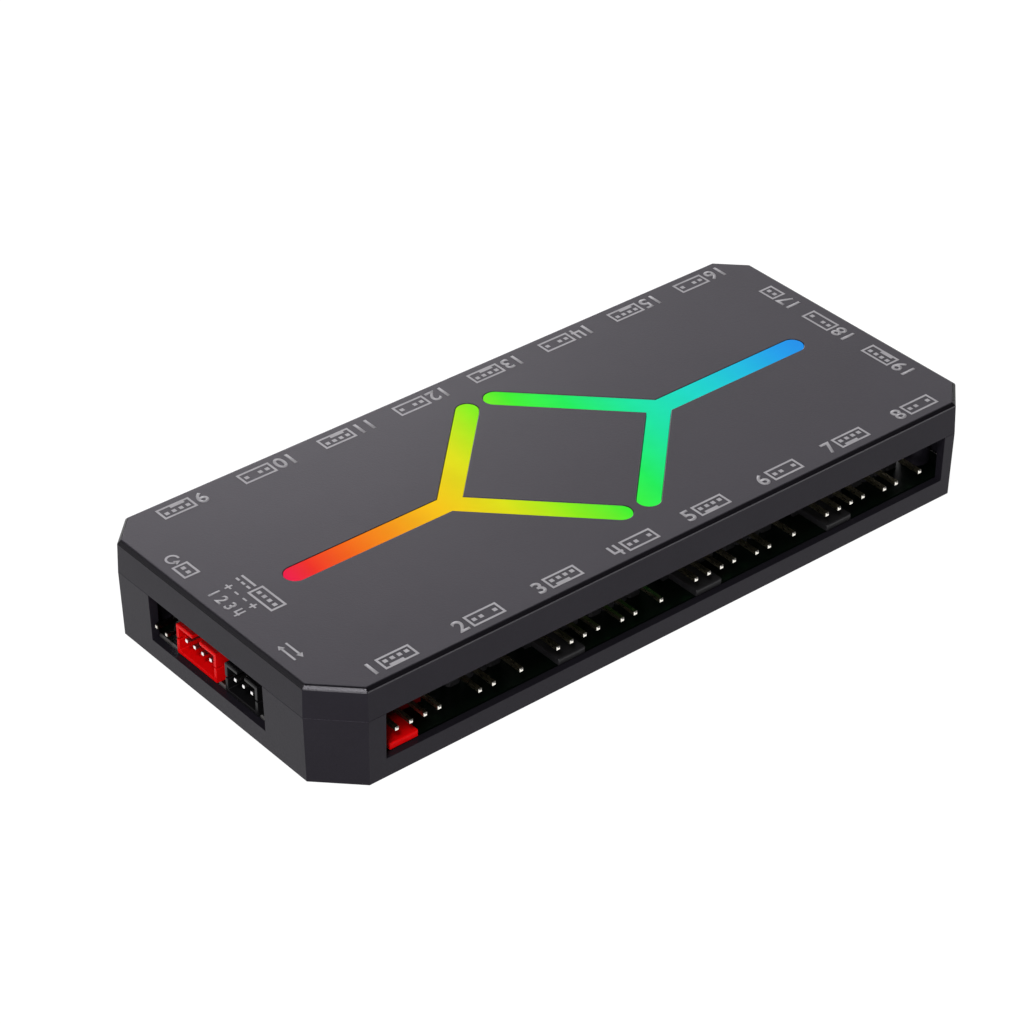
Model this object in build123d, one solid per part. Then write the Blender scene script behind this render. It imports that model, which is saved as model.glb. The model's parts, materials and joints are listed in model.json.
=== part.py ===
from build123d import *
import os
from math import atan2, degrees, hypot, radians, tan

# Fan controller hub for a computer case. Millimetres, +Z up, origin at the centre of the underside.
# The power end is -X and the front row of ports faces -Y.

# Case shells: walls and the stack of heights from the underside up
wall = 1.5
floor = 1.4
board_standoff = 0.9
board_thickness = 1.2
sill_drop = 0.1
window_rise = 8.0
lid_rise = 5.5
roof = 1.8
tray_draft = 1.5
lid_draft = 2.0
corner_cut = 4.6
power_corner_cut = 6.5
top_bevel = 0.55
bottom_chamfer = 0.12
seam_chamfer = 0.04

# Lips under the lid that locate it in the corners of the tray
lip_drop = 1.2
lip_root = 1.5
lip_thickness = 0.9
lip_gap = 0.15

# Solid wall beside the port windows, from the outside of the case to the window
power_post = 9.6
plain_post = 6.7
back_post = 12.4
front_post = 16.1

# Square pins of the headers
pin_pitch = 2.54
pin_size = 0.64
pin_chamfer = 0.17
pin_fit = 0.03
leg_offset = 0.9
tail = 0.6
hole_gap = 0.13
tip_setback = 1.25

# Fan header: four pins over a key tab, in front of a base wall
fan_positions = 4
fan_reach = 6.2
fan_base_depth = 3.0
fan_base_height = 5.9
fan_pin_rise = 3.15
fan_edge = 0.4
tab_thickness = 1.14
tab_chamfer = 0.15
tab_positions = 2
lead_tab_shift = -1.4

# Pin strip: light headers have four positions with the third left empty, button headers have two
light_filled = (True, True, False, True)
button_filled = (True, True)
strip_reach = 6.0
strip_depth = 2.54
strip_notch = 0.45
strip_pin_rise = 2.55
strip_cap = 1.27
reset_setback = 0.45

# Shrouded sockets of the power end
socket_pitch = 2.0
socket_pin = 0.5
socket_pin_chamfer = 0.12
socket_side = 1.95
socket_height = 5.2
socket_depth = 7.6
socket_wall = 0.6
socket_back = 1.8
socket_pin_rise = 2.85
socket_pin_inset = 0.3
socket_setback = 1.3
socket_edge = 0.15
power_pins = 4
link_pins = 3
key_notch = 1.8
side_notch = 0.3
side_notch_depth = 1.2

# Spacing of the front and back rows, from housing to housing
pairs = 4
pair_gap = 2.14
row_gap = 4.39
lead_gap = 2.7
power_margin = 1.6
plain_margin = 2.4

# Spacing of the ports on the two ends
reset_inset = 0.8
reset_gap = 0.27
socket_gap = 2.2
link_margin = 3.2
plain_gap = 2.2
plain_row_y = -0.5
plain_row_margin = 1.5

# Light guides: two Y shapes round an open diamond
bar_width = 3.6
slot_gap = 0.1
guide_sink = 0.05
junction_half = 20.85
arm_angle = 45
arm_gap = 1.9
tail_length = 28.15
light_y = 0.4
flange_margin = 0.7
flange_thickness = 1.0

# Circuit board and what it carries besides the ports
board_gap = 0.25
led_size = 3.5
led_height = 1.95
led_chamfer = 0.2
tail_leds = 4
arm_leds = 3
arm_led_span = 0.62
chip_size = 7.0
chip_height = 0.9
chip_edge = 0.3
buffer_length = 8.7
buffer_width = 3.9
buffer_height = 1.5
buffer_spread = 34.0
buffer_offset = 7.0
can_diameter = 6.3
can_height = 5.4
can_edge = 0.5
can_base = 6.6
can_base_height = 0.8
can_base_cut = 1.6
can_offset = 5.5
can_spacing = 17.0

# Screws from below, through tray and board into bosses of the lid
boss_inset_x = 5.4
boss_inset_y = 7.3
boss_diameter = 4.6
post_diameter = 6.8
shank_diameter = 2.2
shank_length = 9.0
shank_gap = 0.2
pilot_gap = 0.05
pilot_spare = 1.0
head_diameter = 4.2
head_height = 0.85
head_sink = 0.1
head_gap = 0.25
head_edge = 0.25
drive_length = 2.4
drive_width = 0.6
drive_depth = 0.45
rest_pad_diameter = 5.0

# How far a cutting shape runs past the face that it opens
over = 1.0

# Heights that follow from the stack
board_bottom = floor + board_standoff
board_top = board_bottom + board_thickness
sill_z = board_top - sill_drop
seam_z = board_top + window_rise
case_height = seam_z + lid_rise
roof_z = case_height - roof

# Widths of the housings
fan_width = fan_positions * pin_pitch
light_width = len(light_filled) * pin_pitch
button_width = len(button_filled) * pin_pitch


def socket_width(count):
    return (count - 1) * socket_pitch + 2 * socket_side


# Length of the case: the posts at its ends and the row of ports between them
pair_pitch = fan_width + pair_gap + light_width + row_gap
fan_to_light = (fan_width + light_width) / 2 + pair_gap
row_length = fan_width / 2 + lead_gap + (pairs - 1) * pair_pitch + fan_to_light + light_width / 2
window_length = power_margin + row_length + plain_margin
case_length = power_post + window_length + plain_post
window_start = -case_length / 2 + power_post
window_end = window_start + window_length
window_x = (window_start + window_end) / 2
fan_start = window_start + power_margin + fan_width / 2

# Width of the case: the posts at its sides and the ports of the power end between them
power_window = (
    reset_inset + pin_pitch / 2 + button_width / 2 + reset_gap
    + socket_width(power_pins) + socket_gap + socket_width(link_pins) + link_margin
)
case_width = back_post + power_window + front_post
power_window_back = case_width / 2 - back_post
power_window_front = power_window_back - power_window
reset_y = power_window_back - reset_inset - pin_pitch / 2
power_y = reset_y - button_width / 2 - reset_gap - socket_width(power_pins) / 2
link_y = power_y - socket_width(power_pins) / 2 - socket_gap - socket_width(link_pins) / 2

# Arms of the light guides: they reach towards each other until the gap is left between their ends
arm_reach = junction_half - (bar_width + arm_gap) / 2
arm_rise = arm_reach * tan(radians(arm_angle))

# Ports of the plain end
plain_row = button_width + light_width + fan_width + 2 * plain_gap
plain_window_back = plain_row_y + plain_row / 2 + plain_row_margin
plain_window_front = plain_row_y - plain_row / 2 - plain_row_margin
panel_y = plain_row_y + plain_row / 2 - button_width / 2
light_end_y = panel_y - button_width / 2 - plain_gap - light_width / 2
fan_end_y = light_end_y - light_width / 2 - plain_gap - fan_width / 2

boss_places = [
    (side_x * (case_length / 2 - boss_inset_x), side_y * (case_width / 2 - boss_inset_y))
    for side_x in (-1, 1)
    for side_y in (-1, 1)
]


def box_between(low, high):
    """A box from its lowest corner to its highest corner."""
    size = [b - a for a, b in zip(low, high)]
    middle = [(a + b) / 2 for a, b in zip(low, high)]
    return Pos(*middle) * Box(*size)


def round_bar(diameter, bottom, top):
    """An upright cylinder on the origin's axis."""
    return Pos(0, 0, (bottom + top) / 2) * Cylinder(diameter / 2, top - bottom)


def case_outline(inset=0.0):
    """The plan of the case with its four cut corners, moved inwards by inset."""
    x = case_length / 2
    y = case_width / 2
    small = corner_cut
    large = power_corner_cut
    corners = [
        (-x + large, -y), (x - small, -y), (x, -y + small), (x, y - small),
        (x - small, y), (-x + small, y), (-x, y - small), (-x, -y + large),
    ]
    plan = make_face(Polyline(*corners, close=True))
    if inset == 0.0:
        return plan
    return offset(plan, amount=-inset, kind=Kind.INTERSECTION)


def window_cutters():
    """Boxes through the four walls of the tray where the ports look out, open at the seam."""
    x = case_length / 2
    y = case_width / 2
    deep = wall + board_gap
    top = seam_z + over
    return [
        box_between((window_start, -y - over, sill_z), (window_end, -y + deep, top)),
        box_between((window_start, y - deep, sill_z), (window_end, y + over, top)),
        box_between((-x - over, power_window_front, sill_z), (-x + deep, power_window_back, top)),
        box_between((x - deep, plain_window_front, sill_z), (x + over, plain_window_back, top)),
    ]


# Light guides and the slots that they fill


def light_plan(side, width):
    """One Y: a straight tail and two arms, all with round ends. side is -1 on the left, 1 on the right."""
    hub = (side * junction_half, 0)
    ends = [
        (side * (junction_half + tail_length), 0),
        (side * (junction_half - arm_reach), arm_rise),
        (side * (junction_half - arm_reach), -arm_rise),
    ]
    plan = Sketch()
    for end in ends:
        middle = ((hub[0] + end[0]) / 2, (hub[1] + end[1]) / 2)
        along = end[0] - hub[0]
        across = end[1] - hub[1]
        turn = degrees(atan2(across, along))
        plan += Pos(*middle) * Rot(0, 0, turn) * SlotCenterToCenter(hypot(along, across), width)
    return Pos(window_x, light_y) * plan


def light_guide(side):
    """A diffuser: the Y that shows, on a wider flange that lies against the roof of the lid."""
    rib = extrude(light_plan(side, bar_width), flange_thickness + roof - guide_sink)
    flange = extrude(light_plan(side, bar_width + 2 * flange_margin), flange_thickness)
    return Pos(0, 0, roof_z - flange_thickness) * (rib + flange)


def led_places():
    """Centres of the lights on the board, along the tails and arms of both guides."""
    places = []
    for side in (-1, 1):
        for step in range(tail_leds):
            along = junction_half + tail_length * step / tail_leds
            places.append((window_x + side * along, light_y))
        for way in (-1, 1):
            for step in range(1, arm_leds + 1):
                share = arm_led_span * step / arm_leds
                along = junction_half - share * arm_reach
                places.append((window_x + side * along, light_y + way * share * arm_rise))
    return places


# Pins and housings of the ports. Each is built facing -Y, with its pin tips or its mouth at y = 0 and the
# top of the board at z = 0.


def bent_pin(size, chamfer_size, tip, leg, rise):
    """A square pin that runs back from its tip, bends down at the leg and ends below the board."""
    half = size / 2
    bottom = -board_thickness - tail
    outline = [
        (tip, rise + half), (leg, rise + half), (leg + half, rise), (leg + half, bottom),
        (leg - half, bottom), (leg - half, rise - half), (tip, rise - half),
    ]
    profile = make_face(Polyline(*outline, close=True))
    pin = extrude(Plane.YZ * profile, half, both=True)
    tip_face = pin.faces().sort_by(Axis.Y)[0]
    return chamfer(tip_face.edges(), chamfer_size)


def pin_places(positions, pitch):
    """Centres of the positions of a port along its width."""
    return [(index - (positions - 1) / 2) * pitch for index in range(positions)]


def pin_slots(places, size, rise, front, back):
    """Square passages for pins through a housing."""
    half = size / 2 + pin_fit
    return [
        box_between((place - half, front, rise - half), (place + half, back, rise + half))
        for place in places
    ]


def fan_header(tab_shift=0.0):
    """Housing, pins and leg places of a fan header. Its tab can stand aside from the pins."""
    places = pin_places(fan_positions, pin_pitch)
    back = fan_reach + fan_base_depth
    half = fan_width / 2
    base = box_between((-half, fan_reach, 0), (half, back, fan_base_height))
    base = chamfer(base.edges().group_by(Axis.Z)[-1], fan_edge)
    tab = box_between((places[0], 0, 0), (places[tab_positions], fan_reach + fan_edge, tab_thickness))
    tab = chamfer(tab.faces().sort_by(Axis.Y)[0].edges(), tab_chamfer)
    housing = base + Pos(tab_shift, 0, 0) * tab
    housing -= pin_slots(places, pin_size, fan_pin_rise, fan_reach - over, back + over)
    leg = back + leg_offset
    pin = bent_pin(pin_size, pin_chamfer, 0, leg, fan_pin_rise)
    return housing, [Pos(place, 0, 0) * pin for place in places], [(place, leg) for place in places]


def strip_header(filled):
    """Housing, pins and leg places of a pin strip. Its plan is notched between the positions."""
    places = pin_places(len(filled), pin_pitch)
    half = pin_pitch / 2
    front = strip_reach
    back = strip_reach + strip_depth
    front_edge = []
    back_edge = []
    for place in places:
        front_edge += [
            (place - half, front + strip_notch), (place - half + strip_notch, front),
            (place + half - strip_notch, front),
        ]
        back_edge += [
            (place - half, back - strip_notch), (place - half + strip_notch, back),
            (place + half - strip_notch, back),
        ]
    front_edge.append((places[-1] + half, front + strip_notch))
    back_edge.append((places[-1] + half, back - strip_notch))
    plan = make_face(Polyline(*front_edge, *reversed(back_edge), close=True))
    used = [place for place, fitted in zip(places, filled) if fitted]
    housing = extrude(plan, strip_pin_rise + strip_cap)
    housing -= pin_slots(used, pin_size, strip_pin_rise, front - over, back + over)
    leg = back + leg_offset
    pin = bent_pin(pin_size, pin_chamfer, 0, leg, strip_pin_rise)
    return housing, [Pos(place, 0, 0) * pin for place in used], [(place, leg) for place in used]


def shrouded_socket(count):
    """Housing, pins and leg places of a socket whose pins stand inside a shroud."""
    places = pin_places(count, socket_pitch)
    half = socket_width(count) / 2
    floor_depth = socket_depth - socket_back
    middle = socket_height / 2
    housing = box_between((-half, 0, 0), (half, socket_depth, socket_height))
    housing = chamfer(housing.edges().group_by(Axis.Z)[-1], socket_edge)
    inner = half - socket_wall
    housing -= box_between((-inner, -over, socket_wall), (inner, floor_depth, socket_height - socket_wall))
    key = key_notch / 2
    housing -= box_between((-key, -over, middle), (key, floor_depth, socket_height + over))
    side_low = middle - side_notch / 2
    side_high = middle + side_notch / 2
    housing -= box_between((-half - over, -over, side_low), (half + over, side_notch_depth, side_high))
    housing -= pin_slots(places, socket_pin, socket_pin_rise, floor_depth - over, socket_depth + over)
    leg = socket_depth + leg_offset
    pin = bent_pin(socket_pin, socket_pin_chamfer, socket_pin_inset, leg, socket_pin_rise)
    return housing, [Pos(place, 0, 0) * pin for place in places], [(place, leg) for place in places]


# Where each port stands: its name, its kind and its place on the board


def on_front(x):
    return Pos(x, -case_width / 2 + tip_setback, board_top)


def on_back(x):
    return Pos(x, case_width / 2 - tip_setback, board_top) * Rot(0, 0, 180)


def on_power_end(y, setback):
    return Pos(-case_length / 2 + setback, y, board_top) * Rot(0, 0, -90)


def on_plain_end(y):
    return Pos(case_length / 2 - tip_setback, y, board_top) * Rot(0, 0, 90)


port_kinds = {
    "lead_fan": fan_header(lead_tab_shift),
    "fan": fan_header(),
    "light": strip_header(light_filled),
    "button": strip_header(button_filled),
    "power": shrouded_socket(power_pins),
    "link": shrouded_socket(link_pins),
}

ports = []
for pair in range(pairs):
    grid_x = fan_start + lead_gap + pair * pair_pitch
    fan_x = fan_start if pair == 0 else grid_x
    light_x = grid_x + fan_to_light
    front_kind = "lead_fan" if pair == 0 else "fan"
    ports.append((f"fan_header_front_{pair + 1}", front_kind, on_front(fan_x)))
    ports.append((f"light_header_front_{pair + 1}", "light", on_front(light_x)))
    ports.append((f"fan_header_back_{pair + 1}", "fan", on_back(fan_x)))
    ports.append((f"light_header_back_{pair + 1}", "light", on_back(light_x)))
ports.append(("reset_header", "button", on_power_end(reset_y, reset_setback)))
ports.append(("power_socket", "power", on_power_end(power_y, socket_setback)))
ports.append(("link_socket", "link", on_power_end(link_y, socket_setback)))
ports.append(("panel_header", "button", on_plain_end(panel_y)))
ports.append(("light_header_end", "light", on_plain_end(light_end_y)))
ports.append(("fan_header_end", "fan", on_plain_end(fan_end_y)))


# The case


def tray():
    """Lower shell: drafted walls, open port windows, posts for the board and seats for the screws."""
    shell = extrude(Pos(0, 0, seam_z) * case_outline(), amount=seam_z, dir=(0, 0, -1), taper=tray_draft)
    shell = chamfer(shell.faces().sort_by(Axis.Z)[-1].edges(), seam_chamfer)
    shell = chamfer(shell.faces().sort_by(Axis.Z)[0].edges(), bottom_chamfer)
    shell -= extrude(Pos(0, 0, floor) * case_outline(wall), seam_z)
    shell -= window_cutters()
    seat_z = head_sink + head_height
    posts = [Pos(*place) * round_bar(post_diameter, floor, board_bottom) for place in boss_places]
    inside = extrude(case_outline(wall / 2), board_bottom)
    for post in posts:
        shell += post & inside
    rest_pad = round_bar(rest_pad_diameter, floor, board_bottom)
    for side in (-1, 1):
        shell += Pos(window_x + side * junction_half, light_y) * rest_pad
    for place in boss_places:
        shell -= Pos(*place) * round_bar(head_diameter + 2 * head_gap, -over, seat_z)
        shell -= Pos(*place) * round_bar(shank_diameter + 2 * shank_gap, 0, board_bottom + over)
    return shell


def lid():
    """Upper shell: bevelled top edge, light slots, corner lips and bosses for the screws."""
    shell = extrude(Pos(0, 0, seam_z) * case_outline(), amount=lid_rise, taper=lid_draft)
    shell = chamfer(shell.faces().sort_by(Axis.Z)[-1].edges(), top_bevel)
    shell = chamfer(shell.faces().sort_by(Axis.Z)[0].edges(), seam_chamfer)
    shell -= extrude(Pos(0, 0, seam_z) * case_outline(wall), roof_z - seam_z)
    lip_inner = wall + lip_gap + lip_thickness
    lips = extrude(Pos(0, 0, seam_z) * (case_outline(wall) - case_outline(lip_inner)), lip_root)
    lips += extrude(Pos(0, 0, seam_z) * (case_outline(wall + lip_gap) - case_outline(lip_inner)), -lip_drop)
    front = min(power_window_front, plain_window_front) - lip_thickness
    back = max(power_window_back, plain_window_back) + lip_thickness
    low = seam_z - lip_drop - over
    high = seam_z + lip_root + over
    lips -= box_between((-case_length, front, low), (case_length, back, high))
    lips -= box_between(
        (window_start - lip_thickness, -case_width, low), (window_end + lip_thickness, case_width, high)
    )
    shell += lips
    pilot_top = head_sink + head_height + shank_length + pilot_spare
    for place in boss_places:
        shell += Pos(*place) * round_bar(boss_diameter, board_top, roof_z)
        shell -= Pos(*place) * round_bar(shank_diameter + 2 * pilot_gap, board_top - over, pilot_top)
    for side in (-1, 1):
        slot = light_plan(side, bar_width + 2 * slot_gap)
        shell -= extrude(Pos(0, 0, roof_z - over) * slot, roof + 2 * over)
    return shell


def case_screw():
    """A pan head screw with its head down: the head with its cross recess, and a plain shank."""
    seat_z = head_sink + head_height
    head = round_bar(head_diameter, head_sink, seat_z)
    head = chamfer(head.faces().sort_by(Axis.Z)[0].edges(), head_edge)
    screw = head + round_bar(shank_diameter, seat_z, seat_z + shank_length)
    slot = box_between(
        (-drive_length / 2, -drive_width / 2, head_sink - over),
        (drive_length / 2, drive_width / 2, head_sink + drive_depth),
    )
    for turn in (0, 90):
        screw -= Rot(0, 0, turn) * slot
    return screw


# The board and its small parts


def circuit_board():
    """The board: the plan of the tray's inside, drilled for the screws and for every leg of the ports."""
    board = extrude(Pos(0, 0, board_bottom) * case_outline(wall + board_gap), board_thickness)
    drills = [
        Pos(*place) * round_bar(shank_diameter + 2 * shank_gap, board_bottom - over, board_top + over)
        for place in boss_places
    ]
    for name, kind, place in ports:
        size = socket_pin if kind in ("power", "link") else pin_size
        hole = Box(size + 2 * hole_gap, size + 2 * hole_gap, 2 * (board_thickness + over))
        drills += [place * Pos(x, y, 0) * hole for x, y in port_kinds[kind][2]]
    return board - drills


def led():
    body = box_between((-led_size / 2, -led_size / 2, 0), (led_size / 2, led_size / 2, led_height))
    return chamfer(body.edges().group_by(Axis.Z)[-1], led_chamfer)


def chip(length, width, height):
    """A moulded chip with a sloped edge on the side of its first terminal."""
    body = box_between((-length / 2, -width / 2, 0), (length / 2, width / 2, height))
    first_edge = body.edges().group_by(Axis.Z)[-1].sort_by(Axis.Y)[0]
    return chamfer(first_edge, chip_edge)


def capacitor():
    """A can on a square base with two cut corners."""
    half = can_base / 2
    base = box_between((-half, -half, 0), (half, half, can_base_height))
    corner_edges = base.edges().filter_by(Axis.Z).sort_by(Axis.X)[:2]
    base = chamfer(corner_edges, can_base_cut)
    can = round_bar(can_diameter, can_base_height, can_height)
    can = chamfer(can.faces().sort_by(Axis.Z)[-1].edges(), can_edge)
    return base + can


def group(solids):
    return Compound([solid for shape in solids for solid in shape.solids()])


nodes = {
    "tray": tray(),
    "lid": lid(),
    "light_guide_left": light_guide(-1),
    "light_guide_right": light_guide(1),
    "circuit_board": circuit_board(),
    "case_screws": group([Pos(*place) * case_screw() for place in boss_places]),
    "leds": group([Pos(*place, board_top) * led() for place in led_places()]),
    "controller_chip": Pos(window_x, light_y, board_top) * chip(chip_size, chip_size, chip_height),
    "buffer_chips": group(
        [
            Pos(window_x + side * buffer_spread, light_y + side * buffer_offset, board_top)
            * chip(buffer_length, buffer_width, buffer_height)
            for side in (-1, 1)
        ]
    ),
}

socket_legs_x = -case_length / 2 + socket_setback + socket_depth + leg_offset
nodes["capacitors"] = group(
    [
        Pos(socket_legs_x + can_offset, light_y + side * can_spacing / 2, board_top) * capacitor()
        for side in (-1, 1)
    ]
)

for name, kind, place in ports:
    housing, pins, legs = port_kinds[kind]
    nodes[name] = place * housing
    nodes[f"{name}_pins"] = group([place * pin for pin in pins])

os.makedirs("parts", exist_ok=True)
for name, shape in nodes.items():
    export_step(shape, f"parts/{name}.step")
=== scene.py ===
import json
from math import pi, radians

import bpy
from mathutils import Matrix, Vector


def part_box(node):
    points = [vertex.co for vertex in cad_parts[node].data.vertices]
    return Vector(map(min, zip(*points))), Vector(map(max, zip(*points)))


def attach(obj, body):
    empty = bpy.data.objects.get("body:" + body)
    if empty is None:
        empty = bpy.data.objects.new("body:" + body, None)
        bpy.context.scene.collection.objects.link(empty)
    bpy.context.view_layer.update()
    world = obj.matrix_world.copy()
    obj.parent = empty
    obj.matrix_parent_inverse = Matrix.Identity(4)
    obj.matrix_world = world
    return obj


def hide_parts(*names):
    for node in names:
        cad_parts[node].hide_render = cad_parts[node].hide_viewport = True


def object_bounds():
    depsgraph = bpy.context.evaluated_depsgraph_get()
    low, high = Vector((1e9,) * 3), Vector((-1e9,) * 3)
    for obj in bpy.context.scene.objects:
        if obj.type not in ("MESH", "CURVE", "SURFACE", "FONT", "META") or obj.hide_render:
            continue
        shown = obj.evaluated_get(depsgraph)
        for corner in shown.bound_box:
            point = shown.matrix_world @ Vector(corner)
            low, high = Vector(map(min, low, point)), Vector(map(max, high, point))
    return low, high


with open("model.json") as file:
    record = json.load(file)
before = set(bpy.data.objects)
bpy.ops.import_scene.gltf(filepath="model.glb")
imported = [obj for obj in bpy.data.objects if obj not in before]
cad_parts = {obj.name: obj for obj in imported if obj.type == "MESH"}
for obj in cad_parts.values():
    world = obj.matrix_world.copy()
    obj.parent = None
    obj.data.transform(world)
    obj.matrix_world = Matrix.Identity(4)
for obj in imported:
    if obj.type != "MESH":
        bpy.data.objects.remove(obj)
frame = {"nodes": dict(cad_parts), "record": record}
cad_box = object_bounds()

MM = 0.001
nodes = frame["nodes"]
slot_of = {part["node"]: part["material_slot"] for part in frame["record"]["subparts"]}
hub_high = cad_box[1]
lid_top = hub_high.z
seam_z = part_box("tray")[1].z
bevel_height = 0.55 * MM
bevel_foot = lid_top - bevel_height
scene = bpy.context.scene
scene.view_settings.view_transform = "Standard"


# Small helpers for working by hand on one piece at a time


def only(piece):
    """Selects one piece and nothing else."""
    bpy.ops.object.select_all(action="DESELECT")
    piece.select_set(True)
    bpy.context.view_layer.objects.active = piece
    return piece


def edit_mode():
    bpy.ops.object.mode_set(mode="EDIT")
    bpy.ops.mesh.select_all(action="SELECT")


def object_mode():
    bpy.ops.object.mode_set(mode="OBJECT")


def settle(piece):
    """Puts a piece's place, turn and size into its mesh, so that its object sits at the origin."""
    only(piece)
    bpy.ops.object.transform_apply(location=True, rotation=True, scale=True)
    return piece


def join(pieces, name):
    """Joins pieces into one, which is left selected."""
    bpy.ops.object.select_all(action="DESELECT")
    for piece in pieces:
        piece.select_set(True)
    bpy.context.view_layer.objects.active = pieces[0]
    bpy.ops.object.join()
    whole = bpy.context.object
    whole.name = name
    whole.data.name = name
    return whole


# Camera at the photograph's viewing angle


def photo_camera():
    azimuth, elevation, roll = radians(-39.4), radians(34.46), radians(-0.06)
    distance, aside, above = 0.53047, -0.00584, 0.00589
    turn = Matrix.Rotation(azimuth, 4, "Z") @ Matrix.Rotation(pi / 2 - elevation, 4, "X")
    bpy.ops.object.camera_add()
    camera = bpy.context.object
    camera.name = "photo_camera"
    place = Matrix.Translation(turn @ Vector((aside, above, distance)))
    camera.matrix_world = place @ turn @ Matrix.Rotation(roll, 4, "Z")
    camera.data.sensor_width = 36.0
    camera.data.lens = 121.17
    camera.data.clip_start = 0.01
    camera.data.clip_end = 20.0
    scene.camera = camera


# Materials: nodes and shared effects


def add(tree, kind, inputs=None, **settings):
    """Adds a shader node, with its settings and with the values of the inputs that stay constant."""
    made = tree.nodes.new("ShaderNode" + kind)
    for name, value in settings.items():
        setattr(made, name, value)
    for name, value in (inputs or {}).items():
        made.inputs[name].default_value = value
    return made


def effect(name, inputs, outputs):
    """An empty shader node group with named sockets, and its two end nodes."""
    tree = bpy.data.node_groups.new(name, "ShaderNodeTree")
    for socket, start in inputs.items():
        made = tree.interface.new_socket(name=socket, in_out="INPUT", socket_type="NodeSocketFloat")
        made.default_value = start
    for socket in outputs:
        tree.interface.new_socket(name=socket, in_out="OUTPUT", socket_type="NodeSocketFloat")
    return tree, tree.nodes.new("NodeGroupInput"), tree.nodes.new("NodeGroupOutput")


def moulded_grain_effect():
    """Fine spark texture of a mould, and the slow drift of tone across a moulding. Sizes are in metres."""
    tree, start, end = effect("moulded_grain", {"Grain": 0.0003, "Drift": 0.02}, ("Grain", "Drift"))
    place = add(tree, "TexCoord")
    for socket, detail, rough in (("Grain", 2.0, 0.6), ("Drift", 4.0, 0.55)):
        across = add(tree, "Math", {0: 1.0}, operation="DIVIDE")
        noise = add(tree, "TexNoise", {"Detail": detail, "Roughness": rough})
        tree.links.new(start.outputs[socket], across.inputs[1])
        tree.links.new(place.outputs["Object"], noise.inputs["Vector"])
        tree.links.new(across.outputs[0], noise.inputs["Scale"])
        tree.links.new(noise.outputs["Fac"], end.inputs[socket])
    return tree


def drawn_metal_effect():
    """Lines that drawing leaves along the three axes of a pin, and blotches where the plating is thinner."""
    tree, start, end = effect("drawn_metal", {"Line": 0.00006, "Blotch": 0.0012}, ("Line", "Blotch"))
    place = add(tree, "TexCoord")
    stretch = add(tree, "Mapping", {"Scale": (1.0, 0.08, 0.35)})
    tree.links.new(place.outputs["Object"], stretch.inputs["Vector"])
    for socket, source, detail in (("Line", stretch, 2.0), ("Blotch", place, 3.0)):
        across = add(tree, "Math", {0: 1.0}, operation="DIVIDE")
        noise = add(tree, "TexNoise", {"Detail": detail, "Roughness": 0.6})
        tree.links.new(start.outputs[socket], across.inputs[1])
        way_out = source.outputs["Vector"] if source is stretch else source.outputs["Object"]
        tree.links.new(way_out, noise.inputs["Vector"])
        tree.links.new(across.outputs[0], noise.inputs["Scale"])
        tree.links.new(noise.outputs["Fac"], end.inputs[socket])
    return tree


def place_effect(tree, group, **inputs):
    made = add(tree, "Group")
    made.node_tree = group
    for name, value in inputs.items():
        made.inputs[name].default_value = value
    return made


def span(tree, source, low, high, start=0.3, stop=0.7):
    """A number that goes from low to high as the source goes from start to stop."""
    made = add(tree, "MapRange", {"From Min": start, "From Max": stop, "To Min": low, "To Max": high})
    tree.links.new(source, made.inputs["Value"])
    return made.outputs["Result"]


def times(tree, first, second):
    """The product of two numbers."""
    made = add(tree, "Math", operation="MULTIPLY")
    tree.links.new(first, made.inputs[0])
    tree.links.new(second, made.inputs[1])
    return made.outputs[0]


def tint(tree, source, dark, light, start=0.3, stop=0.7):
    """A colour that goes from dark to light as the source goes from start to stop."""
    ramp = add(tree, "ValToRGB")
    ramp.color_ramp.elements[0].position = start
    ramp.color_ramp.elements[0].color = (*dark, 1.0)
    ramp.color_ramp.elements[1].position = stop
    ramp.color_ramp.elements[1].color = (*light, 1.0)
    tree.links.new(source, ramp.inputs["Fac"])
    return ramp.outputs["Color"]


def finish(name):
    """A new material with one Principled shader. Gives its tree and the shader."""
    material = bpy.data.materials.new(name)
    material.use_nodes = True
    tree = material.node_tree
    shader = tree.nodes["Principled BSDF"]
    return material, tree, shader


def bump(tree, shader, height, strength, depth):
    made = add(tree, "Bump", {"Strength": strength, "Distance": depth})
    tree.links.new(height, made.inputs["Height"])
    tree.links.new(made.outputs["Normal"], shader.inputs["Normal"])


def colour_over(tree, shader, share, colour):
    """Mixes a second colour over the shader's base colour, by a share that varies over the surface."""
    mixed = add(tree, "Mix", data_type="RGBA")
    mixed.inputs["B"].default_value = (*colour, 1.0)
    tree.links.new(share, mixed.inputs["Factor"])
    tree.links.new(shader.inputs["Base Color"].links[0].from_socket, mixed.inputs["A"])
    tree.links.new(mixed.outputs["Result"], shader.inputs["Base Color"])


moulded_grain = moulded_grain_effect()
drawn_metal = drawn_metal_effect()
nylon_grain = {"grain": 0.00016, "drift": 0.004, "depth": 0.00001}


def moulded_plastic(name, dark, light, rough, shine, grain, drift, depth):
    """A moulded plastic: two near tones, a range of roughness, its gloss level and its grain."""
    material, tree, shader = finish(name)
    texture = place_effect(tree, moulded_grain, Grain=grain, Drift=drift)
    tree.links.new(tint(tree, texture.outputs["Drift"], dark, light), shader.inputs["Base Color"])
    tree.links.new(span(tree, texture.outputs["Grain"], *rough), shader.inputs["Roughness"])
    bump(tree, shader, texture.outputs["Grain"], 0.5, depth)
    shader.inputs["Specular IOR Level"].default_value = shine
    return material


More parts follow.
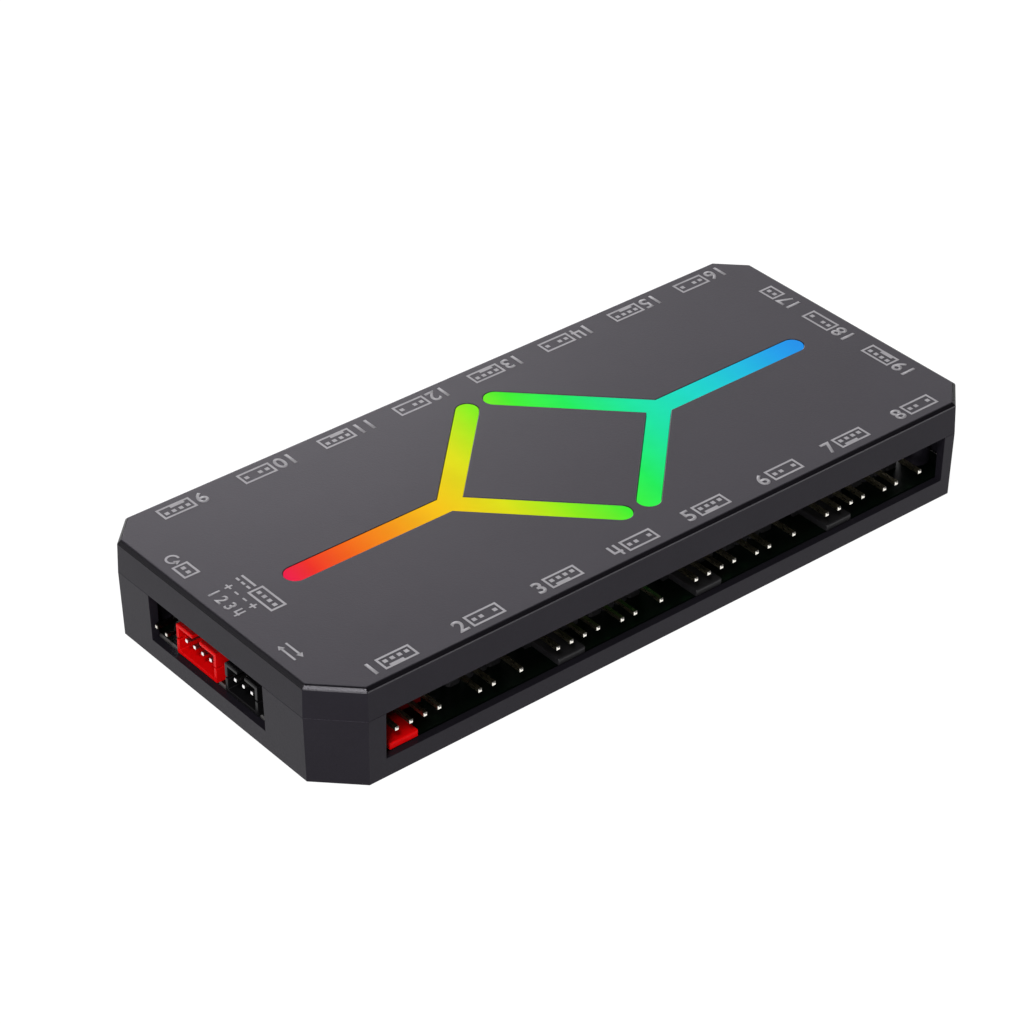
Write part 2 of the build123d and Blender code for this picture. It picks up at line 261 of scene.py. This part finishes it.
def case_plastic():
    """Black case plastic: spark texture on the flats, smoother on the lid's polished bevel, whose colour is
    painted a deeper black there as painted shade.

    The foot of the bevel is burnished along the front, where it shows as a thin light line.
    """
    plain_shine, burnished_shine = 0.13, 0.5
    material = moulded_plastic(
        "case_plastic", (0.0085, 0.0077, 0.0105), (0.0110, 0.0101, 0.0133),
        rough=(0.34, 0.42), shine=plain_shine, grain=0.00026, drift=0.014, depth=0.00003,
    )
    tree = material.node_tree
    shader = tree.nodes["Principled BSDF"]
    facing = add(tree, "NewGeometry")
    axes = add(tree, "SeparateXYZ")
    tree.links.new(facing.outputs["Normal"], axes.inputs["Vector"])
    bevel_tilt = 0.58
    away = add(tree, "Math", {1: bevel_tilt}, operation="SUBTRACT")
    distance = add(tree, "Math", operation="ABSOLUTE")
    tree.links.new(axes.outputs["Z"], away.inputs[0])
    tree.links.new(away.outputs[0], distance.inputs[0])
    place = add(tree, "TexCoord")
    height = add(tree, "SeparateXYZ")
    tree.links.new(place.outputs["Object"], height.inputs["Vector"])
    near_top = span(tree, height.outputs["Z"], 0.0, 1.0, lid_top - 2.0 * MM, lid_top - 1.5 * MM)
    on_bevel = times(tree, span(tree, distance.outputs[0], 1.0, 0.0, 0.30, 0.40), near_top)
    polished = add(tree, "Mix", data_type="FLOAT")
    polished.inputs["B"].default_value = 0.19
    tree.links.new(on_bevel, polished.inputs["Factor"])
    tree.links.new(shader.inputs["Roughness"].links[0].from_socket, polished.inputs["A"])
    tree.links.new(polished.outputs["Result"], shader.inputs["Roughness"])
    # Painted shade: a deeper black on the bevel keeps its band dark.
    colour_over(tree, shader, on_bevel, (0.0050, 0.0046, 0.0058))
    tone = add(tree, "Mix", data_type="RGBA")
    tone.inputs["A"].default_value = (0.93, 0.86, 1.0, 1.0)
    tone.inputs["B"].default_value = (0.97, 0.96, 1.0, 1.0)
    tree.links.new(on_bevel, tone.inputs["Factor"])
    tree.links.new(tone.outputs["Result"], shader.inputs["Specular Tint"])
    facing_front = span(tree, axes.outputs["Y"], 1.0, 0.0, -0.78, -0.70)
    tipped_up = span(tree, axes.outputs["Z"], 0.0, 1.0, 0.20, 0.30)
    burnished = times(tree, times(tree, facing_front, tipped_up), near_top)
    shine = span(tree, burnished, plain_shine, burnished_shine, 0.0, 1.0)
    tree.links.new(shine, shader.inputs["Specular IOR Level"])
    return material


def plated_metal(name, thin, full, rough, depth=0.000004):
    """A plated metal with drawing lines and a slightly uneven plating."""
    material, tree, shader = finish(name)
    texture = place_effect(tree, drawn_metal)
    tree.links.new(tint(tree, texture.outputs["Blotch"], thin, full), shader.inputs["Base Color"])
    tree.links.new(span(tree, texture.outputs["Line"], *rough), shader.inputs["Roughness"])
    bump(tree, shader, texture.outputs["Line"], 0.4, depth)
    shader.inputs["Metallic"].default_value = 1.0
    return material


def outward(tree, edge_x, edge_y):
    """How far a point lies outside a rectangle round the hub's centre, in metres. Inside it is negative."""
    place = add(tree, "TexCoord")
    axes = add(tree, "SeparateXYZ")
    tree.links.new(place.outputs["Object"], axes.inputs["Vector"])
    beyond = []
    for axis, edge in (("X", edge_x), ("Y", edge_y)):
        size = add(tree, "Math", operation="ABSOLUTE")
        past = add(tree, "Math", {1: edge}, operation="SUBTRACT")
        tree.links.new(axes.outputs[axis], size.inputs[0])
        tree.links.new(size.outputs[0], past.inputs[0])
        beyond.append(past.outputs[0])
    most = add(tree, "Math", operation="MAXIMUM")
    tree.links.new(beyond[0], most.inputs[0])
    tree.links.new(beyond[1], most.inputs[1])
    return most.outputs[0]


def tipped_pin(name, shaft, tip, tip_x, tip_y, glint_length=0.30 * MM):
    """A pin whose end carries a painted glint: a near-white colour over the plating.

    The tips of the two ends and of the rows lie at tip_x and tip_y.
    """
    material = plated_metal(name, shaft, tuple(1.4 * part for part in shaft), (0.24, 0.38))
    tree = material.node_tree
    shader = tree.nodes["Principled BSDF"]
    # Painted glint: the near-white colour at the pin's end stands for the highlight on it.
    painted_glint = span(tree, outward(tree, tip_x, tip_y), 0.0, 1.0, -glint_length, -0.4 * glint_length)
    colour_over(tree, shader, painted_glint, tip)
    return material


def red_nylon():
    """Red header plastic, painted a darker red at the base wall deep in the case as painted shade."""
    material = moulded_plastic(
        "header_red_nylon", (0.58, 0.0005, 0.0010), (0.67, 0.0010, 0.0018),
        rough=(0.36, 0.46), shine=0.12, **nylon_grain,
    )
    tree = material.node_tree
    # Painted shade: the red darkens towards the base wall, deep in the case under the lid.
    painted_case_shade = span(tree, outward(tree, hub_high.x, hub_high.y), 1.0, 0.0, -6.6 * MM, -5.0 * MM)
    colour_over(tree, tree.nodes["Principled BSDF"], painted_case_shade, (0.09, 0.0004, 0.0010))
    return material


def lit_diffuser():
    """The milky light guide. Its colour runs along the hub, slightly aslant, from red to blue."""
    material, tree, shader = finish("lit_diffuser")
    place = add(tree, "TexCoord")
    axes = add(tree, "SeparateXYZ")
    ramp = add(tree, "ValToRGB")
    tree.links.new(place.outputs["Object"], axes.inputs["Vector"])
    left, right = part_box("light_guide_left")[0].x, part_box("light_guide_right")[1].x
    aslant = add(tree, "VectorMath", {1: (1.0, -0.17, 0.0)}, operation="DOT_PRODUCT")
    tree.links.new(place.outputs["Object"], aslant.inputs[0])
    tree.links.new(span(tree, aslant.outputs["Value"], 0.0, 1.0, left, right), ramp.inputs["Fac"])
    stops = (
        (0.005, (0.85, 0.004, 0.065)), (0.05, (0.86, 0.025, 0.012)), (0.11, (0.88, 0.115, 0.002)),
        (0.19, (0.90, 0.280, 0.001)), (0.28, (0.91, 0.550, 0.001)), (0.365, (0.72, 0.740, 0.002)),
        (0.445, (0.26, 0.850, 0.004)), (0.515, (0.05, 0.880, 0.025)), (0.585, (0.01, 0.850, 0.100)),
        (0.67, (0.006, 0.780, 0.360)), (0.80, (0.008, 0.640, 0.640)), (0.94, (0.012, 0.350, 0.830)),
        (1.0, (0.014, 0.270, 0.840)),
    )
    points = ramp.color_ramp.elements
    while len(points) < len(stops):
        points.new(0.5)
    for point, (position, colour) in zip(points, stops):
        point.position = position
        point.color = (*colour, 1.0)
    texture = place_effect(tree, moulded_grain, Grain=0.0004, Drift=0.006)
    shade = add(tree, "Mix", data_type="RGBA", blend_type="MULTIPLY")
    shade.inputs["Factor"].default_value = 1.0
    tree.links.new(ramp.outputs["Color"], shade.inputs["A"])
    drift = tint(tree, texture.outputs["Drift"], (0.93, 0.93, 0.93), (1.0, 1.0, 1.0))
    tree.links.new(drift, shade.inputs["B"])
    top_only = add(tree, "Mix", data_type="RGBA", blend_type="MULTIPLY")
    top_only.inputs["Factor"].default_value = 1.0
    height = span(tree, axes.outputs["Z"], 0.0, 1.0, lid_top - 1.2 * MM, lid_top - 0.3 * MM)
    fade = tint(tree, height, (0.02, 0.02, 0.02), (1.0, 1.0, 1.0), 0.0, 1.0)
    tree.links.new(shade.outputs["Result"], top_only.inputs["A"])
    tree.links.new(fade, top_only.inputs["B"])
    tree.links.new(top_only.outputs["Result"], shader.inputs["Emission Color"])
    dim = add(tree, "Mix", data_type="RGBA", blend_type="MULTIPLY")
    dim.inputs["Factor"].default_value = 1.0
    dim.inputs["B"].default_value = (0.02, 0.02, 0.02, 1.0)
    tree.links.new(shade.outputs["Result"], dim.inputs["A"])
    tree.links.new(dim.outputs["Result"], shader.inputs["Base Color"])
    tree.links.new(span(tree, texture.outputs["Grain"], 0.42, 0.52), shader.inputs["Roughness"])
    shader.inputs["Emission Strength"].default_value = 1.0
    shader.inputs["Specular IOR Level"].default_value = 0.01
    return material


def resist_board():
    """Dark green solder resist with tracks under it. The board's two ends carry a light grey band, a painted
    highlight of the lit board edge.
    """
    material, tree, shader = finish("board_resist")
    place = add(tree, "TexCoord")
    tracks = add(
        tree, "TexVoronoi", {"Scale": 260.0, "Randomness": 0.55}, distance="MANHATTAN", feature="F1"
    )
    tree.links.new(place.outputs["Object"], tracks.inputs["Vector"])
    over_copper, between = (0.0008, 0.0050, 0.0016), (0.0005, 0.0024, 0.0009)
    green = tint(tree, tracks.outputs["Distance"], over_copper, between, 0.35, 0.42)
    tree.links.new(green, shader.inputs["Base Color"])
    board_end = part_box("circuit_board")[1].x
    # Painted highlight: a light grey band along the board's ends stands for the lit board edge.
    rim = span(tree, outward(tree, board_end, 2 * board_end), 0.0, 1.0, -0.30 * MM, -0.22 * MM)
    colour_over(tree, shader, rim, (0.12, 0.12, 0.115))
    texture = place_effect(tree, moulded_grain, Grain=0.0005, Drift=0.01)
    tree.links.new(span(tree, texture.outputs["Drift"], 0.28, 0.4), shader.inputs["Roughness"])
    bump(tree, shader, tracks.outputs["Distance"], 0.2, 0.00003)
    shader.inputs["Specular IOR Level"].default_value = 0.2
    return material


def led_package():
    """White package with a yellow phosphor top."""
    material, tree, shader = finish("led_package")
    place = add(tree, "TexCoord")
    axes = add(tree, "SeparateXYZ")
    tree.links.new(place.outputs["Object"], axes.inputs["Vector"])
    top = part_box("leds")[1].z
    height = span(tree, axes.outputs["Z"], 0.0, 1.0, top - 0.25 * MM, top)
    colour = tint(tree, height, (0.78, 0.78, 0.75), (0.80, 0.62, 0.16), 0.7, 1.0)
    tree.links.new(colour, shader.inputs["Base Color"])
    texture = place_effect(tree, moulded_grain, Grain=0.0003, Drift=0.004)
    tree.links.new(span(tree, texture.outputs["Drift"], 0.3, 0.45), shader.inputs["Roughness"])
    bump(tree, shader, texture.outputs["Grain"], 0.3, 0.00001)
    return material


row_tips = -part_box("fan_header_front_1_pins")[0].y
end_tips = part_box("fan_header_end_pins")[1].x
socket_tips = -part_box("power_socket_pins")[0].x
reset_tips = -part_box("reset_header_pins")[0].x
diffuser = lit_diffuser()
finishes = {
    "case_black": case_plastic(),
    "light_guide_warm": diffuser,
    "light_guide_cool": diffuser,
    "board_green": resist_board(),
    "header_black": moulded_plastic(
        "header_nylon", (0.0100, 0.0100, 0.0104), (0.0150, 0.0150, 0.0156),
        rough=(0.30, 0.40), shine=0.36, **nylon_grain,
    ),
    "header_red": red_nylon(),
    "pin_gold": tipped_pin("pin_gold_flash", (0.36, 0.33, 0.21), (0.98, 0.95, 0.87), end_tips, row_tips),
    "pin_tin": tipped_pin("pin_tin_plate", (0.30, 0.29, 0.28), (0.98, 0.97, 0.95), socket_tips, row_tips),
    "led_white": led_package(),
    "chip_black": moulded_plastic(
        "chip_epoxy", (0.010, 0.010, 0.011), (0.018, 0.018, 0.019),
        rough=(0.45, 0.60), shine=0.4, grain=0.00012, drift=0.003, depth=0.00001,
    ),
    "capacitor_can": plated_metal("can_aluminium", (0.66, 0.66, 0.68), (0.78, 0.78, 0.79), (0.25, 0.40)),
    "screw_steel": plated_metal("screw_black_zinc", (0.10, 0.10, 0.11), (0.19, 0.19, 0.20), (0.28, 0.45)),
}
# Painted shade: the reset pins' shafts are painted dark, as they sit in shade; their ends carry a smaller
# painted glint.
reset_pin_shade_and_glint = tipped_pin(
    "reset_pin_shade_and_glint", (0.03, 0.026, 0.02), (0.80, 0.77, 0.70), reset_tips, row_tips, glint_length=0.10 * MM
)
# Painted shade: the link socket's nylon is the same black as the other housings, painted darker.
link_nylon_painted_shade = moulded_plastic(
    "link_nylon_painted_shade", (0.0030, 0.0030, 0.0032), (0.0045, 0.0045, 0.0048),
    rough=(0.30, 0.40), shine=0.24, **nylon_grain,
)
special_finishes = {"reset_header_pins": reset_pin_shade_and_glint, "link_socket": link_nylon_painted_shade}
ink = moulded_plastic(
    "print_ink", (0.245, 0.243, 0.247), (0.305, 0.303, 0.307),
    rough=(0.5, 0.65), shine=0.2, grain=0.0002, drift=0.003, depth=0.000004,
)


def finish_of(node):
    """The finish of a node: its own, or else its slot's."""
    return special_finishes.get(node, finishes[slot_of[node]])


def wear_finish(piece, material):
    piece.data.materials.clear()
    piece.data.materials.append(material)


# Mouldings: copies of the CAD shells and housings with their sharp edges rounded

bevel_top_radius = 0.22 * MM
bevel_foot_width = 0.11 * MM
case_edge_radius = 0.08 * MM
housing_edge_radius = 0.06 * MM
edge_slack = 0.05 * MM


def welded_copy(node):
    """A copy of a node's mesh with its triangles merged into whole faces. It stands for the node."""
    piece = bpy.data.objects.new(node + "_moulded", nodes[node].data.copy())
    scene.collection.objects.link(piece)
    only(piece)
    bpy.ops.mesh.customdata_custom_splitnormals_clear()
    edit_mode()
    bpy.ops.mesh.remove_doubles(threshold=0.000002)
    bpy.ops.mesh.dissolve_limited(angle_limit=radians(0.3))
    object_mode()
    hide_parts(node)
    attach(piece, "root")
    wear_finish(piece, finish_of(node))
    return piece


def ease_edges(piece, radius, steps, wanted):
    """Bevels the sharp edges of a piece that wanted picks out by the middle of the edge."""
    only(piece)
    edit_mode()
    bpy.ops.mesh.select_all(action="DESELECT")
    bpy.ops.mesh.select_mode(type="EDGE")
    bpy.ops.mesh.edges_select_sharp(sharpness=radians(32))
    object_mode()
    points = piece.data.vertices
    for face in piece.data.polygons:
        face.select = False
    for point in points:
        point.select = False
    for edge in piece.data.edges:
        a, b = (points[index].co for index in edge.vertices)
        edge.select = edge.select and wanted((a + b) / 2)
    bpy.ops.object.mode_set(mode="EDIT")
    bpy.ops.mesh.bevel(offset=radius, segments=steps, affect="EDGES", clamp_overlap=True)
    object_mode()


def shade_moulding(piece, angle):
    """Smooth shading that leaves the flat faces flat."""
    only(piece)
    bpy.ops.object.shade_smooth_by_angle(angle=radians(angle))
    flat_faces = piece.modifiers.new("flat_faces", "WEIGHTED_NORMAL")
    flat_faces.weight = 100
    flat_faces.keep_sharp = True
    bpy.ops.object.modifier_apply(modifier="flat_faces")


def round_the_case(middle):
    """Whether an edge lies near the outline of the case, seen from above."""
    rim, corner_cut = 1.9 * MM, 8.5 * MM
    outside_x = abs(middle.x) > hub_high.x - rim
    outside_y = abs(middle.y) > hub_high.y - rim
    corner = abs(middle.x) + abs(middle.y) > hub_high.x + hub_high.y - corner_cut
    return outside_x or outside_y or corner


def on_bevel_foot(middle):
    """Whether an edge runs along the foot of the lid's bevel, round the outside of the case."""
    return abs(middle.z - bevel_foot) < edge_slack and round_the_case(middle)


def on_bevel_top(middle):
    """Whether an edge runs along the top of the lid's bevel, round the outside of the case."""
    return abs(middle.z - lid_top) < edge_slack and round_the_case(middle)


def on_case_outside(middle):
    """Whether an edge of a case shell shows from outside, and isn't part of the fine seam."""
    if abs(middle.z - seam_z) < 0.3 * MM:
        return False
    return round_the_case(middle) or middle.z > lid_top - 0.2 * MM


def any_edge(middle):
    """Every sharp edge, for the small housings."""
    return True


def moulded_shells():
    """Lid and tray. The lid's bevel runs softly into the top and has a steeper step at its foot."""
    for node in ("lid", "tray"):
        shell = welded_copy(node)
        if node == "lid":
            ease_edges(shell, bevel_top_radius, 3, on_bevel_top)
            ease_edges(shell, bevel_foot_width, 1, on_bevel_foot)
        ease_edges(shell, case_edge_radius, 2, on_case_outside)
        shade_moulding(shell, angle=9)


def moulded_housings():
    """The housings of all headers and sockets."""
    for node in sorted(nodes):
        if "header" in node and not node.endswith("_pins") or node.endswith("_socket"):
            housing = welded_copy(node)
            ease_edges(housing, housing_edge_radius, 2, any_edge)
            shade_moulding(housing, angle=50)


# Print on the lid: plain port numbers and generic connector signs, drawn flat at the origin and
# then placed. Its sizes are in millimetres.

mark_height = 2.8
sign_pitch = 1.25
arrow_head = 0.62
fan_pins = (True, True, True, True)
light_pins = (True, True, False, True)
button_pins = (True, True)


def ink_bar(x, y, width, height):
    """A plain bar, centred at its place."""
    bpy.ops.mesh.primitive_plane_add(size=MM, location=(x * MM, y * MM, 0.0))
    bar = bpy.context.object
    bar.scale = (width, height, 1.0)
    return settle(bar)


def ink_outline(x, y, width, height, line):
    """The outline of a housing: a bar that is inset and opened."""
    outline = ink_bar(x, y, width, height)
    edit_mode()
    bpy.ops.mesh.inset(thickness=line * MM)
    bpy.ops.mesh.delete(type="FACE")
    object_mode()
    return outline


def ink_four(x, y, height):
    """An open four: a short left stroke, a tall right stroke and the bar that joins them."""
    line = 0.15 * height
    bar_y = y - 0.16 * height
    above = 0.5 * height - (bar_y - y) - line / 2
    below = 0.5 * height + (bar_y - y) - line / 2
    right = x + 0.16 * height
    return [
        ink_bar(x, bar_y, 0.62 * height, line),
        ink_bar(x - 0.62 * height / 2 + line / 2, bar_y + line / 2 + above / 2, line, above),
        ink_bar(right, bar_y + line / 2 + above / 2, line, above),
        ink_bar(right, bar_y - line / 2 - below / 2, line, below),
    ]


def ink_digit(digit, x, y, height):
    """One plain digit of the given height, centred at its place."""
    if digit == "4":
        return ink_four(x, y, height)
    bpy.ops.object.text_add()
    text = bpy.context.object
    text.data.body = digit
    text.data.size = height * MM
    text.data.offset = 0.02 * height * MM
    bpy.ops.object.convert(target="MESH")
    drawn = bpy.context.object
    points = [point.co for point in drawn.data.vertices]
    low = Vector((min(p.x for p in points), min(p.y for p in points), 0.0))
    high = Vector((max(p.x for p in points), max(p.y for p in points), 0.0))
    grow = height * MM / (high.y - low.y)
    middle = (low + high) / 2
    drawn.scale = (grow, grow, 1.0)
    drawn.location = (x * MM - grow * middle.x, y * MM - grow * middle.y, 0.0)
    return [settle(drawn)]


def ink_number(number, x, y, height):
    """A plain number, centred at its place."""
    digits = str(number)
    step = 0.70 * height
    drawn = []
    for index, digit in enumerate(digits):
        drawn += ink_digit(digit, x + (index - (len(digits) - 1) / 2) * step, y, height)
    return drawn


def sign_width(filled):
    """How wide the sign of a connector with so many positions is."""
    return sign_pitch * len(filled) + 0.9


def connector_sign(x, y, filled, tab):
    """A connector seen from its mating side: outline, pins where they are fitted, and the key tab."""
    pin, line = 0.68, 0.36
    signs = [ink_outline(x, y, sign_width(filled), mark_height, line)]
    for index, fitted in enumerate(filled):
        if fitted:
            pin_x = x + (index - (len(filled) - 1) / 2) * sign_pitch
            signs.append(ink_bar(pin_x, y + 0.25 * tab, pin, pin))
    if tab:
        signs.append(ink_bar(x - sign_pitch / 2, y - mark_height / 2 + 0.58, 2 * sign_pitch, 0.4))
    return signs


def port_mark(number, filled, tab):
    """A port's number with its connector sign beside it, centred at the origin."""
    number_width = 1.8 if number < 10 else 3.5
    gap = 0.6
    whole = number_width + gap + sign_width(filled)
    marks = ink_number(number, (number_width - whole) / 2, 0.0, mark_height)
    return marks + connector_sign((whole - sign_width(filled)) / 2, 0.0, filled, tab)


def lay_print(marks, x, y, turn):
    """Turns a mark and moves it to its place on top of the lid."""
    mark = join(marks, "mark")
    mark.rotation_euler = (0.0, 0.0, radians(turn))
    mark.location = (x * MM, y * MM, lid_top)
    return settle(mark)


def finish_print(marks, name):
    """Joins the marks of one edge of the lid and gives the ink its thickness."""
    printed = join(marks, name)
    body = printed.modifiers.new("ink_film", "SOLIDIFY")
    body.thickness = 0.02 * MM
    body.offset = 1.0
    bpy.ops.object.modifier_apply(modifier="ink_film")
    wear_finish(printed, ink)
    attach(printed, "root")


def row_print():
    """Numbers and signs along the front and back edges, each readable from its own side."""
    front_x = (-49.8, -34.1, -19.6, -5.0, 9.1, 23.9, 37.8, 52.4)
    back_x = (-50.1, -34.6, -19.6, -5.1, 9.7, 24.2, 38.7, 52.9)
    for name, places, y, turn, first in (
        ("port_print_front", front_x, -24.7, 0, 1), ("port_print_back", back_x, 24.9, 180, 9),
    ):
        marks = []
        for index, x in enumerate(places):
            is_fan = index % 2 == 0
            mark = port_mark(first + index, fan_pins if is_fan else light_pins, is_fan)
            marks.append(lay_print(mark, x, y, turn))
        finish_print(marks, name)


def ink_arrow_head(x, y, turn):
    """A triangle that points along +Y before it is turned."""
    bpy.ops.mesh.primitive_circle_add(
        vertices=3, radius=arrow_head * MM, fill_type="NGON",
        location=(x * MM, y * MM, 0.0), rotation=(0.0, 0.0, radians(turn)),
    )
    return settle(bpy.context.object)


def turn_sign(x, y, radius, line):
    """A round arrow: a short edge spun about its centre, with a head."""
    bpy.ops.mesh.primitive_plane_add(size=MM, location=(x * MM, y * MM, 0.0))
    arrow = bpy.context.object
    edit_mode()
    bpy.ops.mesh.delete(type="ONLY_FACE")
    bpy.ops.mesh.select_all(action="SELECT")
    object_mode()
    low, high = (radius - line / 2) * MM, (radius + line / 2) * MM
    corners = ((low, 0.0), (high, 0.0), (low, 0.0), (high, 0.0))
    for point, corner in zip(arrow.data.vertices, corners):
        point.co = (corner[0], corner[1], 0.0)
    edit_mode()
    bpy.ops.mesh.remove_doubles(threshold=0.000001)
    bpy.ops.mesh.spin(steps=28, angle=radians(285), center=(x * MM, y * MM, 0.0), axis=(0.0, 0.0, 1.0))
    object_mode()
    settle(arrow)
    return [arrow, ink_arrow_head(x + radius, y + 0.1, 0)]


def ink_arrow(x, y, length, way):
    """A straight arrow that points along +X or -X."""
    shaft = ink_bar(x - way * 0.3, y, length - 0.6, 0.34)
    return [shaft, ink_arrow_head(x + way * (length / 2 - 0.5), y, -90 * way)]


def ink_plus(x, y):
    return [ink_bar(x, y, 1.3, 0.3), ink_bar(x, y + 0.4, 0.3, 0.5), ink_bar(x, y - 0.4, 0.3, 0.5)]


def end_print():
    """Signs along the two ends: reset, supply with polarity and pin numbers, link, and the plain ports."""
    reset = turn_sign(-2.2, 0.0, 0.95, 0.36) + connector_sign(1.2, 0.0, button_pins, False)
    supply = connector_sign(2.6, 0.0, fan_pins, False)
    supply += [ink_bar(-2.6, 0.55, 3.4, 0.38)]
    supply += [ink_bar(-2.6 + step, -0.45, 0.8, 0.38) for step in (-1.3, 0.0, 1.3)]
    polarity = ink_plus(-3.0, 0.0) + ink_plus(3.0, 0.0)
    polarity += [ink_bar(-1.0, 0.0, 0.9, 0.3), ink_bar(1.0, 0.0, 0.9, 0.3)]
    numbers = []
    for number in (1, 2, 3, 4):
        numbers += ink_number(number, -5.0 + 2.0 * number, 0.0, 2.0)
    link = ink_arrow(0.0, 0.55, 4.0, 1) + ink_arrow(0.0, -0.75, 4.0, -1)
    marks = [
        lay_print(reset, -59.3, 12.3, -90), lay_print(supply, -54.4, 0.6, -90),
        lay_print(polarity, -57.0, 0.8, -90), lay_print(numbers, -59.5, 0.8, -90),
        lay_print(link, -59.2, -14.3, -90),
    ]
    finish_print(marks, "port_print_power_end")
    plain = [
        lay_print(port_mark(17, button_pins, False), 59.1, 12.4, 90),
        lay_print(port_mark(18, light_pins, False), 59.1, 1.0, 90),
        lay_print(port_mark(19, fan_pins, True), 59.1, -12.6, 90),
    ]
    finish_print(plain, "port_print_plain_end")


# Studio: a pale floor, soft lamps and a dim surround


def pale_floor():
    """Nearly white paper under the hub. It glows to the camera and in reflections, so the shadow is faint."""
    just_below = -0.05 * MM
    bpy.ops.mesh.primitive_circle_add(
        vertices=96, radius=4.0, fill_type="NGON", location=(0.0, 0.0, just_below)
    )
    floor = bpy.context.object
    floor.name = "pale_floor"
    settle(floor)
    material, tree, shader = finish("pale_paper")
    texture = place_effect(tree, moulded_grain, Grain=0.002, Drift=0.3)
    paper = tint(tree, texture.outputs["Drift"], (0.80, 0.80, 0.80), (0.82, 0.82, 0.82))
    tree.links.new(paper, shader.inputs["Base Color"])
    shader.inputs["Roughness"].default_value = 0.9
    shader.inputs["Specular IOR Level"].default_value = 0.0
    light = add(tree, "LightPath")
    glow = add(tree, "Emission", {"Color": (1.0, 1.0, 1.0, 1.0), "Strength": 1.08})
    seen = add(tree, "Math", operation="MAXIMUM")
    seen_too = add(tree, "Math", operation="MAXIMUM")
    share = add(tree, "Math", {1: 0.9}, operation="MULTIPLY")
    mixed = add(tree, "MixShader")
    tree.links.new(light.outputs["Is Camera Ray"], seen.inputs[0])
    tree.links.new(light.outputs["Is Glossy Ray"], seen.inputs[1])
    tree.links.new(seen.outputs[0], seen_too.inputs[0])
    tree.links.new(light.outputs["Is Transmission Ray"], seen_too.inputs[1])
    tree.links.new(seen_too.outputs[0], share.inputs[0])
    tree.links.new(share.outputs[0], mixed.inputs["Fac"])
    tree.links.new(shader.outputs["BSDF"], mixed.inputs[1])
    tree.links.new(glow.outputs["Emission"], mixed.inputs[2])
    tree.links.new(mixed.outputs["Shader"], tree.nodes["Material Output"].inputs["Surface"])
    wear_finish(floor, material)


lamps = (
    # name, direction from the hub, distance, width, height, brightness
    ("back_softbox", (0.52, 0.64, 0.57), 1.3, 1.7, 1.2, 2.45),
    ("low_back_lamp", (0.41, 0.88, 0.242), 0.6, 0.26, 0.22, 8.2),
    ("corner_panel", (-0.745, -0.63, 0.26), 1.2, 0.34, 0.34, 18.0),
    ("corner_lamp", (-0.457, -0.343, 0.82), 1.2, 0.26, 0.26, 36.0),
    ("front_strip", (0.52, -0.85, 0.085), 1.2, 1.3, 0.12, 2.5),
    ("left_panel", (-0.57, 0.64, 0.52), 1.2, 0.6, 0.6, 1.2),
)


def soft_lamps():
    for name, direction, distance, width, height, brightness in lamps:
        towards = Vector(direction).normalized()
        turn = towards.to_track_quat("Z", "Y").to_euler()
        bpy.ops.object.light_add(type="AREA", location=towards * distance, rotation=turn)
        lamp = bpy.context.object
        lamp.name = name
        lamp.data.shape = "RECTANGLE"
        lamp.data.size = width
        lamp.data.size_y = height
        lamp.data.color = (0.985, 0.958, 1.0)
        lamp.data.energy = pi * width * height * brightness
        lamp.visible_camera = False


def dim_surround():
    world = bpy.data.worlds.new("dim_surround")
    scene.world = world
    world.use_nodes = True
    background = world.node_tree.nodes["Background"]
    background.inputs["Color"].default_value = (1.0, 1.0, 1.0, 1.0)
    background.inputs["Strength"].default_value = 0.1


photo_camera()
for node, piece in nodes.items():
    wear_finish(piece, finish_of(node))
moulded_shells()
moulded_housings()
row_print()
end_print()
pale_floor()
soft_lamps()
dim_surround()
